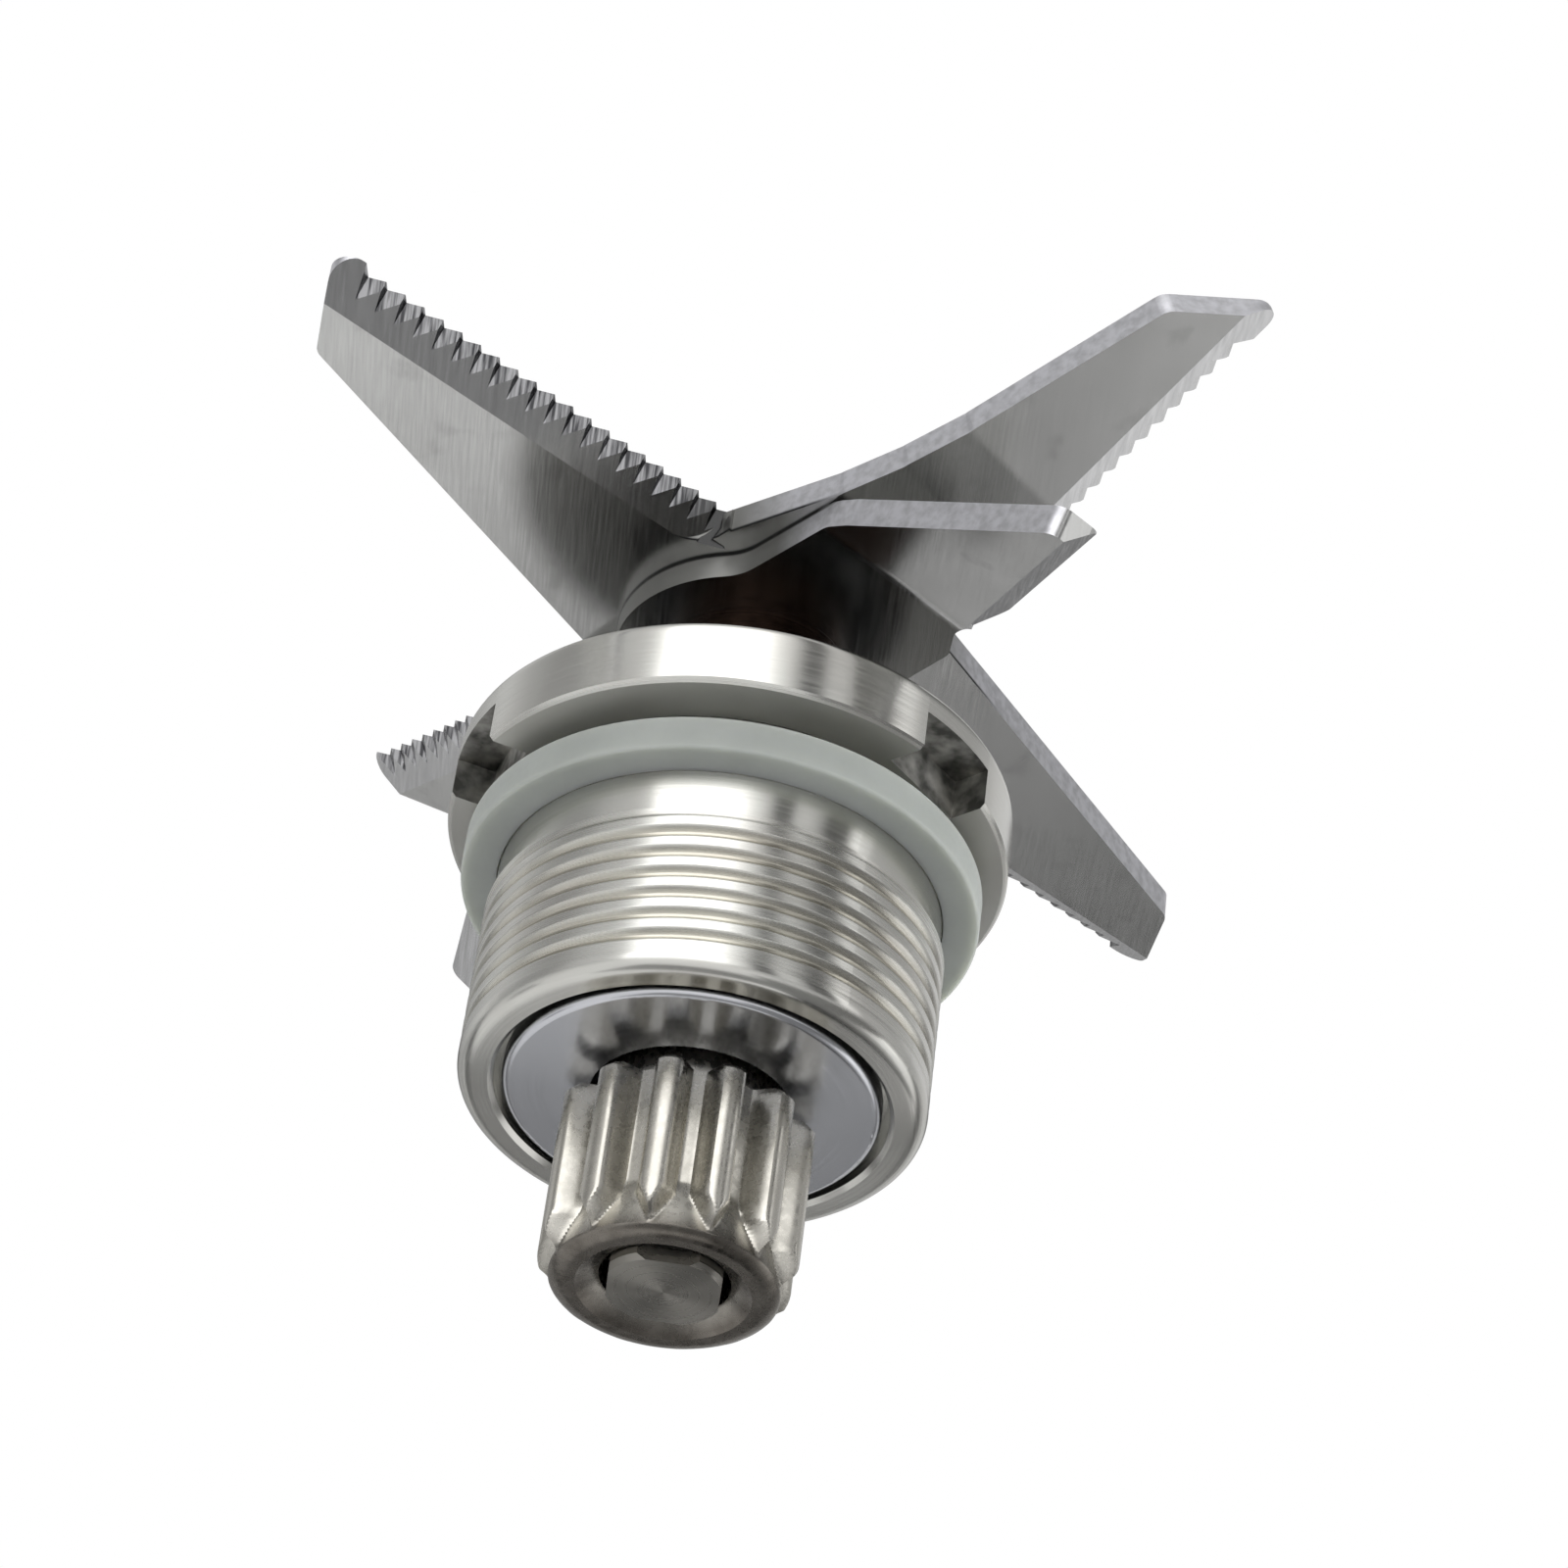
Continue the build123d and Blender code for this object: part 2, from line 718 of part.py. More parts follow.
# Domed cap nut that clamps both blades on the collar
nut_corner_radius = nut_across_flats / 2 / cos(radians(30))
nut_chamfer_height = (nut_corner_radius - nut_across_flats / 2) * tan(radians(nut_chamfer_angle))
hex_top_z = nut_z + nut_hex_height
dome_sphere_radius = (nut_dome_radius**2 + nut_dome_height**2) / (2 * nut_dome_height)
dome_centre_z = hex_top_z + nut_dome_height - dome_sphere_radius
dome_start = degrees(atan2(hex_top_z - dome_centre_z, nut_dome_radius))
with BuildPart() as cap_nut:
    with BuildSketch(Plane.XZ):
        with BuildLine():
            dome_arc = CenterArc((0, dome_centre_z), dome_sphere_radius, dome_start, 90 - dome_start)
            Polyline(
                dome_arc @ 1,
                (0, nut_z),
                (nut_across_flats / 2, nut_z),
                (nut_corner_radius, nut_z + nut_chamfer_height),
                (nut_corner_radius, hex_top_z - nut_chamfer_height),
                (nut_across_flats / 2, hex_top_z),
                dome_arc @ 0,
            )
        make_face()
    revolve(axis=Axis.Z)
    with BuildSketch(Plane.XY.offset(nut_z)):
        RegularPolygon(nut_across_flats / 2, 6, major_radius=False)
    extrude(amount=nut_hex_height + nut_dome_height, mode=Mode.INTERSECT)
    with BuildSketch(Plane.XY.offset(nut_z)):
        Circle(stud_radius + bore_clearance)
    extrude(amount=stud_reach + bore_clearance, mode=Mode.SUBTRACT)
finish(cap_nut, "cap_nut")
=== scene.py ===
from math import pi, radians

import bpy
import numpy as np
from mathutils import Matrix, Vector


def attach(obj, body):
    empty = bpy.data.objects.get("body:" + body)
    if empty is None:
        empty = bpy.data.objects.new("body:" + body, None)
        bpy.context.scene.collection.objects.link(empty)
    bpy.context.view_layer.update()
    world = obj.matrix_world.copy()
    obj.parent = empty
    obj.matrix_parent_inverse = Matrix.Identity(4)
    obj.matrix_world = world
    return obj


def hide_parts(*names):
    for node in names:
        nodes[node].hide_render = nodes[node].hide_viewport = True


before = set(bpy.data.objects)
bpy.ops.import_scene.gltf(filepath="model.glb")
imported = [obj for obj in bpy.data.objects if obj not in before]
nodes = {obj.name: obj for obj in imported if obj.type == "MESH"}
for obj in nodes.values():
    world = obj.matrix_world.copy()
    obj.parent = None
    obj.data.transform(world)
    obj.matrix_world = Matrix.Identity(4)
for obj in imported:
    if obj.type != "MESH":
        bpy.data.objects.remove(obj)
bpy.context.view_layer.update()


# Housing: flange, threaded barrel and seal boss, turned from one stainless bar.
# The thread is single-point cut as a helix, and three spanner notches are end-milled into
# the flange, which leaves their walls rough. Their walls are painted dark as painted shade.

# Sizes of pieces are in millimetres, which MM turns into metres. Places in a material are in
# metres.
MM = 0.001
flange_radius = 18.5
flange_height = 4.9
flange_chamfer = 0.3
flange_round = 0.6
neck_radius = 14.6
neck_foot = -4.1
neck_fillet = 0.3
undercut_radius = 14.2
undercut_slope = 0.5
barrel_radius = 15.0
barrel_end = -19.6
end_round = 1.0
cover_seat_radius = 12.65
cover_seat_height = -16.4
mouth_chamfer = 0.3
bearing_bore_radius = 11.0
web_underside = 4.0
web_hole_radius = 5.9
seal_bore_radius = 8.5
seal_seat_height = 5.4
boss_radius = 10.0
boss_top = 10.6
boss_round = 0.6
boss_fillet = 1.0
notch_azimuths = (-161.5, -41.5, 78.5)
notch_half_width = 3.4
notch_height = 3.0
notch_wall = 15.6
thread_pitch = 1.5875
thread_depth = 0.4
thread_top = -7.4
thread_bottom = -18.4
thread_start_fade = 1.3
thread_end_fade = 1.2
groove_floor_share = 0.08
groove_share = 0.66
sharp_edge_angle = radians(28)


def straight(start, end, count):
    """Points that run evenly from start towards end, which is left out."""
    share = np.arange(count)[:, None] / count
    return np.array(start) + share * (np.array(end) - np.array(start))


def straights(corners, counts):
    """Straight runs through the corners in turn, each with its own number of points. The last
    corner is left out."""
    runs = zip(corners, corners[1:], counts)
    return np.concatenate([straight(start, end, count) for start, end, count in runs])


def rounded(centre, radius, first, last, count):
    """Points on an arc about centre from the first to the last angle in degrees, which is left
    out."""
    angle = np.radians(first + (last - first) * np.arange(count) / count)
    return np.array(centre) + radius * np.stack([np.cos(angle), np.sin(angle)], 1)


def smooth_step(value, low, high):
    """0 below low, 1 above high and a cubic S between them."""
    share = np.clip((value - low) / (high - low), 0, 1)
    return share * share * (3 - 2 * share)


def add_piece(name, points, quads):
    """A mesh object of quads over an array of points, placed in the scene."""
    mesh = bpy.data.meshes.new(name)
    mesh.from_pydata(points.reshape(-1, 3).tolist(), [], quads.reshape(-1, 4).tolist())
    piece = bpy.data.objects.new(name, mesh)
    bpy.context.scene.collection.objects.link(piece)
    return piece


def add_mark(piece, name, domain, values):
    """Keeps one number for each face or point of a piece, which its material reads by name."""
    layer = piece.data.attributes.new(name, "FLOAT", domain)
    layer.data.foreach_set("value", values.astype(np.float32).ravel())


def closed_skin(name, points):
    """A piece of quads over a grid that closes on itself both ways.

    Each quad joins a point to its next row and next column. The quads are turned round when the
    volume they enclose, the sum of the tetrahedra from the origin, comes out negative.
    """
    rows, columns = points.shape[:2]
    index = np.arange(rows * columns).reshape(rows, columns)
    below = np.roll(index, -1, 0)
    quads = np.stack([index, np.roll(index, -1, 1), np.roll(below, -1, 1), below], -1)
    a, b, c, d = (points.reshape(-1, 3)[quads[..., k].ravel()] for k in range(4))
    volume = np.einsum("ij,ij->", a, np.cross(b, c)) + np.einsum("ij,ij->", a, np.cross(c, d))
    if volume < 0:
        quads = quads[..., ::-1]
    piece = add_piece(name, points, quads)
    piece.data.shade_smooth()
    piece.data.set_sharp_from_angle(angle=sharp_edge_angle)
    return piece


def thread_relief(z, azimuth):
    """How far the helical groove lies below the crest, as a share of its depth: a rounded saw
    over each pitch, which fades out at both ends of the thread."""
    turn = np.mod(z / thread_pitch - azimuth / (2 * pi), 1)
    groove = 1 - smooth_step(np.abs(2 * turn - 1), groove_floor_share, groove_share)
    start = smooth_step(z, thread_bottom, thread_bottom + thread_start_fade)
    end = 1 - smooth_step(z, thread_top - thread_end_fade, thread_top)
    return groove * start * end


# The section runs once round the wall, as radius and height. The stretch from the notch wall to
# the top of the notch has two forms, one for the whole flange and one for a notch.
thread_rows = 230
notch_rows = 12
half_rows = notch_rows // 2
inner_run = np.concatenate([
    straights([
        (cover_seat_radius, barrel_end + mouth_chamfer),
        (cover_seat_radius + mouth_chamfer, barrel_end),
        (barrel_radius - end_round, barrel_end),
    ], (2, 4)),
    rounded((barrel_radius - end_round, barrel_end + end_round), end_round, -90, 0, 10),
    straights([
        (barrel_radius, barrel_end + end_round),
        (barrel_radius, thread_top),
        (undercut_radius, thread_top + undercut_slope),
        (neck_radius, neck_foot),
        (neck_radius, -neck_fillet),
    ], (thread_rows, 4, 6, 4)),
    rounded((neck_radius + neck_fillet, -neck_fillet), neck_fillet, 180, 90, 4),
    straight((neck_radius + neck_fillet, 0), (notch_wall, 0), 2),
])
whole_rim = straights([
    (notch_wall, 0),
    (flange_radius - flange_chamfer, 0),
    (flange_radius, flange_chamfer),
    (flange_radius, notch_height),
], (half_rows - 2, 2, half_rows))
notch_rim = straights([
    (notch_wall, 0),
    (notch_wall, notch_height),
    (flange_radius, notch_height),
], (half_rows, half_rows))
boss_foot_radius = boss_radius + boss_fillet
outer_run = np.concatenate([
    straight((flange_radius, notch_height), (flange_radius, flange_height - flange_round), 4),
    rounded((flange_radius - flange_round, flange_height - flange_round), flange_round, 0, 90, 6),
    straight((flange_radius - flange_round, flange_height), (boss_foot_radius, flange_height), 8),
    rounded((boss_foot_radius, flange_height + boss_fillet), boss_fillet, -90, -180, 6),
    straight((boss_radius, flange_height + boss_fillet), (boss_radius, boss_top - boss_round), 6),
    rounded((boss_radius - boss_round, boss_top - boss_round), boss_round, 0, 90, 5),
    straights([
        (boss_radius - boss_round, boss_top),
        (seal_bore_radius, boss_top),
        (seal_bore_radius, seal_seat_height),
        (web_hole_radius, seal_seat_height),
        (web_hole_radius, web_underside),
        (bearing_bore_radius, web_underside),
        (bearing_bore_radius, cover_seat_height),
        (cover_seat_radius, cover_seat_height),
        (cover_seat_radius, barrel_end + mouth_chamfer),
    ], (2, 3, 3, 2, 3, 4, 2, 3)),
])

# Columns: each notch holds parallel ones, given by their offset from its middle line, with one
# more of the whole flange at either side. The arcs between two notches are divided evenly.
notch_columns = 9
arc_columns = 75
notch_count = len(notch_azimuths)
group_offset = np.concatenate([
    [-notch_half_width],
    np.linspace(-notch_half_width, notch_half_width, notch_columns),
    np.full(arc_columns + 1, notch_half_width),
])
group_share = np.zeros(len(group_offset))
group_share[notch_columns + 2:] = (np.arange(arc_columns) + 1) / (arc_columns + 1)
group_cut = np.zeros(len(group_offset), bool)
group_cut[1:notch_columns + 1] = True
column_start = np.repeat(np.radians(notch_azimuths), len(group_offset))
column_offset = np.tile(group_offset, notch_count)
column_share = np.tile(group_share, notch_count)
column_cut = np.tile(group_cut, notch_count)

# A column keeps its offset from the notch's middle line at every radius, so that the notch has
# parallel sides and a flat wall.
whole = np.concatenate([inner_run, whole_rim, outer_run])
cut = np.concatenate([inner_run, notch_rim, outer_run])
section = np.where(column_cut[None, :, None], cut[:, None], whole[:, None])
section_radius, height = section[..., 0], section[..., 1]
on_wall = np.isclose(section_radius, notch_wall) & column_cut
radius = np.where(on_wall, np.hypot(notch_wall, column_offset), section_radius)
half_angle = np.arcsin(np.clip(notch_half_width / radius, 0, 1))
arc = 2 * pi / notch_count - 2 * half_angle
azimuth = column_start + np.arcsin(column_offset / radius) + column_share * arc
height_tolerance = 0.01
threaded = np.isclose(section_radius, barrel_radius) & (height < thread_top + height_tolerance)
relief = np.zeros_like(radius)
relief[threaded] = thread_relief(height[threaded], azimuth[threaded])
turned = radius - thread_depth * relief
housing = closed_skin(
    "housing_turned",
    np.stack([turned * np.cos(azimuth), turned * np.sin(azimuth), height], -1) * MM,
)

# Marks for the finish: milled notch walls, which also carry painted shade, a near-black painted
# shade on the boss, which thins out on top of the flange, and coarse places.
hub_shade_foot = flange_height + 0.3
hub_shade_inner_radius = 8.0
flange_hub_shade = 0.4
underside_coarseness = 0.5
thread_coarseness = 0.2
milled = np.zeros(radius.shape)
notch_cells = column_cut | np.roll(column_cut, -1)
milled[len(inner_run):len(inner_run) + notch_rows, notch_cells] = 1
# Painted shade: the boss is near black, and thinner on top of the flange under the blades.
hub_shade = np.zeros(radius.shape)
hub_shade[(height > hub_shade_foot) & (radius > hub_shade_inner_radius)] = 1
on_flange = (height > flange_height - height_tolerance) & (height < hub_shade_foot)
hub_shade[on_flange] = flange_hub_shade
coarse = milled.copy()
underside = (np.abs(height) < height_tolerance) & (radius > neck_radius)
coarse[underside] = underside_coarseness
coarse[threaded] = thread_coarseness
for mark, values in (("milled", milled), ("hub_shade", hub_shade), ("coarse", coarse)):
    add_mark(housing, mark, "FACE", values)
add_mark(housing, "groove", "POINT", relief)


def fill(tree, node, inputs):
    """Fills a node's inputs by name or place: a socket is linked, any other value is set."""
    for name, value in inputs.items():
        if isinstance(value, bpy.types.NodeSocket):
            tree.links.new(value, node.inputs[name])
        else:
            node.inputs[name].default_value = value


def add_node(tree, kind, inputs=None, **settings):
    """Adds a shader node with its settings and fills its inputs."""
    made = tree.nodes.new("ShaderNode" + kind)
    for name, value in settings.items():
        setattr(made, name, value)
    fill(tree, made, inputs or {})
    return made


def new_material(name):
    """A material with its principled shader, returned as material, tree and shader."""
    material = bpy.data.materials.new(name)
    material.use_nodes = True
    return material, material.node_tree, material.node_tree.nodes["Principled BSDF"]


def full_colour(value):
    """Red, green, blue and alpha from a colour, or from one number that stands for a grey."""
    return (*value, 1) if isinstance(value, tuple) else (value, value, value, 1)


def ramp(tree, factor, *stops):
    """A colour ramp through pairs of a position and a colour or grey, straight between them."""
    made = add_node(tree, "ValToRGB", {"Fac": factor})
    elements = made.color_ramp.elements
    while len(elements) < len(stops):
        elements.new(1.0)
    for element, (position, colour) in zip(elements, stops):
        element.position = position
        element.color = full_colour(colour)
    return made.outputs["Color"]


def blend(tree, share, first, second, kind="MIX"):
    """A mix of two colours, greys or sockets, from first to second by share."""
    ends = [
        value if isinstance(value, bpy.types.NodeSocket) else full_colour(value)
        for value in (first, second)
    ]
    inputs = {"Factor": share, 6: ends[0], 7: ends[1]}
    return add_node(tree, "Mix", inputs, data_type="RGBA", blend_type=kind).outputs[2]


def maths(tree, operation, *values):
    """One step of arithmetic on sockets or numbers."""
    return add_node(tree, "Math", dict(enumerate(values)), operation=operation).outputs[0]


def own_place(tree):
    """The piece's own coordinates."""
    return add_node(tree, "TexCoord").outputs["Object"]


def split(tree, vector):
    """The X, Y and Z of a vector."""
    return add_node(tree, "SeparateXYZ", {"Vector": vector}).outputs


def axis_distance(tree, parts):
    """Distance from the axis: the length of X and Y alone."""
    flat = add_node(tree, "CombineXYZ", {"X": parts["X"], "Y": parts["Y"]}).outputs["Vector"]
    return add_node(tree, "VectorMath", {0: flat}, operation="LENGTH").outputs["Value"]


def noise(tree, place, scale, detail):
    """Soft noise over a place, scale to the metre, with as many finer layers as detail says."""
    inputs = {"Vector": place, "Scale": scale, "Detail": detail}
    return add_node(tree, "TexNoise", inputs).outputs["Fac"]


def lathe_lines(tree, scale, drift):
    """Noise that runs in rings about the axis: it reads radius and height, with a slight drift
    across the piece so that a ring isn't the same all round."""
    parts = split(tree, own_place(tree))
    across = maths(tree, "MULTIPLY_ADD", parts["X"], drift, axis_distance(tree, parts))
    along = maths(tree, "MULTIPLY_ADD", parts["Y"], drift, parts["Z"])
    ring = add_node(tree, "CombineXYZ", {"X": across, "Y": along}).outputs["Vector"]
    return noise(tree, ring, scale, detail=4.0)


def clouds(tree, first, second, scale, detail=3.0, low=0.3, high=0.7):
    """Soft noise over the piece's own coordinates, which turns from the first colour or grey to
    the second between a low and a high level of the noise."""
    level = noise(tree, own_place(tree), scale, detail)
    return ramp(tree, level, (low, first), (high, second))


def attribute(tree, name):
    """The value of a mark that the mesh carries."""
    return add_node(tree, "Attribute", attribute_name=name).outputs["Fac"]


def fed_by(shader, name):
    """The socket that feeds one of a shader's inputs."""
    return shader.inputs[name].links[0].from_socket


def add_bump(tree, shader, level, strength, depth):
    """Lets a level stand out of the surface by a depth in metres."""
    bump = add_node(tree, "Bump", {"Height": level, "Strength": strength, "Distance": depth})
    fill(tree, shader, {"Normal": bump.outputs["Normal"]})


def turned_steel(name, pale, deep, smooth, rough, line_scale, line_depth, stretch=0.85):
    """Lathe-turned metal: colour drifts from pale to deep in soft clouds, and fine rings change
    the roughness and stand out as bump. They stretch reflections across their own run, which a
    quarter turn from the tangent gives."""
    material, tree, shader = new_material(name)
    lines = lathe_lines(tree, line_scale, drift=0.01)
    rings = add_node(tree, "Tangent", direction_type="RADIAL", axis="Z")
    fill(tree, shader, {
        "Metallic": 1.0,
        "Base Color": clouds(tree, pale, deep, scale=160, high=0.75),
        "Roughness": ramp(tree, lines, (0.3, smooth), (0.7, rough)),
        "Tangent": rings.outputs["Tangent"],
        "Anisotropic": stretch,
        "Anisotropic Rotation": 0.25,
    })
    add_bump(tree, shader, lines, strength=1.0, depth=line_depth)
    return material, tree, shader


# Tints that multiply the thread: none on the crests, darker and yellower on the groove floors.
crest_tint, groove_floor_tint = (1, 1, 1), (0.86, 0.83, 0.76)
# Painted shade of the milled notch walls, dark to grey.
notch_shade_dark, notch_shade_pale = (0.14, 0.14, 0.13), (0.58, 0.57, 0.54)
# Painted shade under the blades: the boss near black, thinner on the flange top.
hub_shade_dark, hub_shade_pale = (0.005, 0.004, 0.003), (0.022, 0.016, 0.013)
coarse_roughness = 0.55
housing_steel, tree, shader = turned_steel(
    "housing_steel", pale=(0.60, 0.60, 0.57), deep=(0.54, 0.53, 0.50),
    smooth=0.15, rough=0.26, line_scale=5200, line_depth=0.0000035,
)
groove_tint = blend(tree, attribute(tree, "groove"), crest_tint, groove_floor_tint)
tone = blend(tree, 1.0, fed_by(shader, "Base Color"), groove_tint, "MULTIPLY")
# Painted shade: the notch walls are painted dark to grey in clouds.
notch_shade = clouds(tree, notch_shade_dark, notch_shade_pale, scale=600, detail=5, low=0.35, high=0.66)
tone = blend(tree, attribute(tree, "milled"), tone, notch_shade)
# Painted shade on the boss and the flange top, mixed in by the hub_shade mark.
painted_shade = clouds(tree, hub_shade_dark, hub_shade_pale, scale=500, detail=4)
fill(tree, shader, {
    "Base Color": blend(tree, attribute(tree, "hub_shade"), tone, painted_shade),
    "Roughness": blend(
        tree, attribute(tree, "coarse"), fed_by(shader, "Roughness"), coarse_roughness
    ),
})
housing.data.materials.append(housing_steel)
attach(housing, "housing_body")
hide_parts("housing")


def finish_node(name, material):
    """Gives a CAD node its finish in every slot."""
    slots = nodes[name].data.materials
    for k in range(len(slots)):
        slots[k] = material


def moulded(name, cloud_scale, first, second, grain_scale, smooth, rough):
    """A moulded finish: colour drifts from first to second in soft clouds, and a finer grain
    changes the roughness from smooth to rough."""
    material, tree, shader = new_material(name)
    fill(tree, shader, {
        "Base Color": clouds(tree, first, second, cloud_scale),
        "Roughness": clouds(tree, smooth, rough, grain_scale),
    })
    return material, shader


bearing_steel = turned_steel(
    "bearing_steel", pale=(0.62, 0.62, 0.62), deep=(0.55, 0.55, 0.56),
    smooth=0.10, rough=0.18, line_scale=6000, line_depth=0.000002,
)[0]
cage_nylon = moulded(
    "cage_nylon", cloud_scale=420, first=(0.62, 0.55, 0.40), second=(0.70, 0.64, 0.50),
    grain_scale=2200, smooth=0.42, rough=0.55,
)[0]
for bearing in ("upper", "lower"):
    for piece in ("outer_race", "inner_race", "balls", "shields"):
        finish_node(f"{bearing}_{piece}", bearing_steel)
    finish_node(f"{bearing}_cage", cage_nylon)
for piece in ("outer_spacer", "inner_spacer"):
    finish_node(piece, bearing_steel)


# Shaft seal: moulded black nitrile rubber, pressed into the boss, with a wound garter spring
# that holds its lip on the spindle.
seal_rubber = moulded(
    "seal_rubber", cloud_scale=700, first=(0.012, 0.012, 0.013), second=(0.030, 0.028, 0.027),
    grain_scale=3000, smooth=0.45, rough=0.65,
)[0]
finish_node("shaft_seal", seal_rubber)
finish_node("garter_spring", bearing_steel)


# Gasket: flat ring of translucent silicone, slightly green, cut with crisp edges and pushed
# over the neck.
gasket_inner = 14.65
gasket_outer = 17.0
gasket_top = -1.7
gasket_bottom = -4.2
gasket_round = 0.22
gasket_columns = 240
gasket_rim = gasket_outer - gasket_round
gasket_section = np.concatenate([
    straights([
        (gasket_inner, gasket_top),
        (gasket_inner, gasket_bottom),
        (gasket_rim, gasket_bottom),
    ], (4, 6)),
    rounded((gasket_rim, gasket_bottom + gasket_round), gasket_round, -90, 0, 6),
    straight(
        (gasket_outer, gasket_bottom + gasket_round), (gasket_outer, gasket_top - gasket_round), 6
    ),
    rounded((gasket_rim, gasket_top - gasket_round), gasket_round, 0, 90, 6),
    straight((gasket_rim, gasket_top), (gasket_inner, gasket_top), 6),
])
gasket_turn = np.linspace(0, 2 * pi, gasket_columns, endpoint=False)
gasket_radius, gasket_height = gasket_section[:, :1], gasket_section[:, 1:]
gasket = closed_skin(
    "gasket_ring",
    np.stack([
        gasket_radius * np.cos(gasket_turn),
        gasket_radius * np.sin(gasket_turn),
        gasket_height + 0 * gasket_turn,
    ], -1) * MM,
)
silicone, shader = moulded(
    "silicone", cloud_scale=210, first=(0.275, 0.292, 0.278), second=(0.31, 0.327, 0.313),
    grain_scale=2600, smooth=0.50, rough=0.62,
)
shader.inputs["Subsurface Weight"].default_value = 0.8
shader.inputs["Subsurface Radius"].default_value = (0.003, 0.003, 0.0025)
shader.inputs["Subsurface Scale"].default_value = 1.0
gasket.data.materials.append(silicone)
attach(gasket, "housing_body")
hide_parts("flange_gasket")


# Bearing cover: polished disc of slightly blue steel, faced on the lathe and pressed into the
# end of the barrel.
cover_steel = turned_steel(
    "cover_steel", pale=(0.60, 0.61, 0.64), deep=(0.54, 0.55, 0.58),
    smooth=0.17, rough=0.27, line_scale=4200, line_depth=0.0000012, stretch=0.5,
)[0]
finish_node("bearing_cover", cover_steel)


# Spindle: turned steel with a collar under the blades and a squared lower end, which runs in
# both bearings. The collar is painted near black, a little browner than the boss, as painted
# shade.
collar_foot = 0.009
collar_shade_dark, collar_shade_pale = (0.007, 0.004, 0.003), (0.032, 0.020, 0.015)
spindle_steel, tree, shader = turned_steel(
    "spindle_steel", pale=(0.31, 0.298, 0.272), deep=(0.24, 0.23, 0.21),
    smooth=0.24, rough=0.36, line_scale=5000, line_depth=0.000004,
)
# Painted shade: the spindle above z 9 mm, its collar, is painted near black.
shaded_part = maths(tree, "GREATER_THAN", split(tree, own_place(tree))["Z"], collar_foot)
painted_shade = clouds(tree, collar_shade_dark, collar_shade_pale, scale=500, detail=4)
fill(tree, shader, {"Base Color": blend(tree, shaded_part, fed_by(shader, "Base Color"), painted_shade)})
finish_node("spindle", spindle_steel)


# Drive spline: twelve-tooth coupling of sintered steel, pressed on the spindle's square.
# Its lands are crowned and bend in over the nose, and each groove runs out over a sloping
# facet that leaves the teeth pointed at their lower ends.
tooth_count = 12
tooth_azimuth = radians(-12.0)
spline_neck = -16.4
spline_top = -21.1
spline_end = -33.5
tip_radius = 8.2
root_radius = 6.2
nose_length = 2.6
end_ring_radius = 6.1
point_foot = 0.4
point_length = 4.2
point_flank = 0.25
land_share = 0.35
floor_share = 0.72
land_crown = 0.16
corner_softness = 0.08
top_bevel = 0.5
spline_neck_radius = 5.4
sink_radius = 5.5
sink_depth = 0.9
mouth_radius = 4.12
mouth_depth = 3.0
square_half = 3.55
sleeve_radius = 4.05
tooth_columns = 32
side_rows = 40
nose_rows = 32


def soft_clip(value):
    """A ramp from 0 to 1, level outside, with both corners rounded by hyperbolas."""
    return (np.hypot(value, corner_softness) - np.hypot(value - 1, corner_softness) + 1) / 2


def nose_radius(rise):
    """Radius of the plain nose at a rise above its end: a quarter ellipse from the end ring out
    to the tips, and the tip radius above it."""
    below = np.clip(1 - rise / nose_length, 0, 1)
    return end_ring_radius + (tip_radius - end_ring_radius) * np.sqrt(1 - below**2)


def toothed_radius(azimuth, rise):
    """Radius of the toothed side at a rise above its lower end.

    Across each pitch a crowned land and a groove floor are joined by a straight flank. The land
    follows the nose, the floor slopes out to meet it, and the groove widens there until it takes
    the whole pitch.
    """
    pitch = 2 * pi / tooth_count
    off = 2 * np.abs(np.mod((azimuth - tooth_azimuth) / pitch + 0.5, 1) - 0.5)
    near_top = np.clip(1 - (spline_top - spline_end - rise) / top_bevel, 0, 1)
    crown = land_crown * np.clip(off / land_share, 0, 1) ** 2 * np.clip(rise / nose_length, 0, 1)
    land = nose_radius(rise) - crown - top_bevel * near_top
    grown = (rise - point_foot) / (point_length - point_foot)
    foot_radius = nose_radius(point_foot)
    floor = foot_radius + (root_radius - foot_radius) * np.clip(grown, 0, 1)
    flank = soft_clip((floor_share - off) / (floor_share - land_share))
    point = soft_clip((grown - off) / point_flank)
    return np.minimum(land, floor + (land - floor) * np.minimum(flank, point))


def wall(start, end, count):
    """Rings that run straight from a start ring towards an end ring, which is left out. A ring is
    a height and a radius, and the radius may change with azimuth."""
    share = np.arange(count)[:, None] / count
    return tuple(first + share * (last - first) + 0 * around for first, last in zip(start, end))


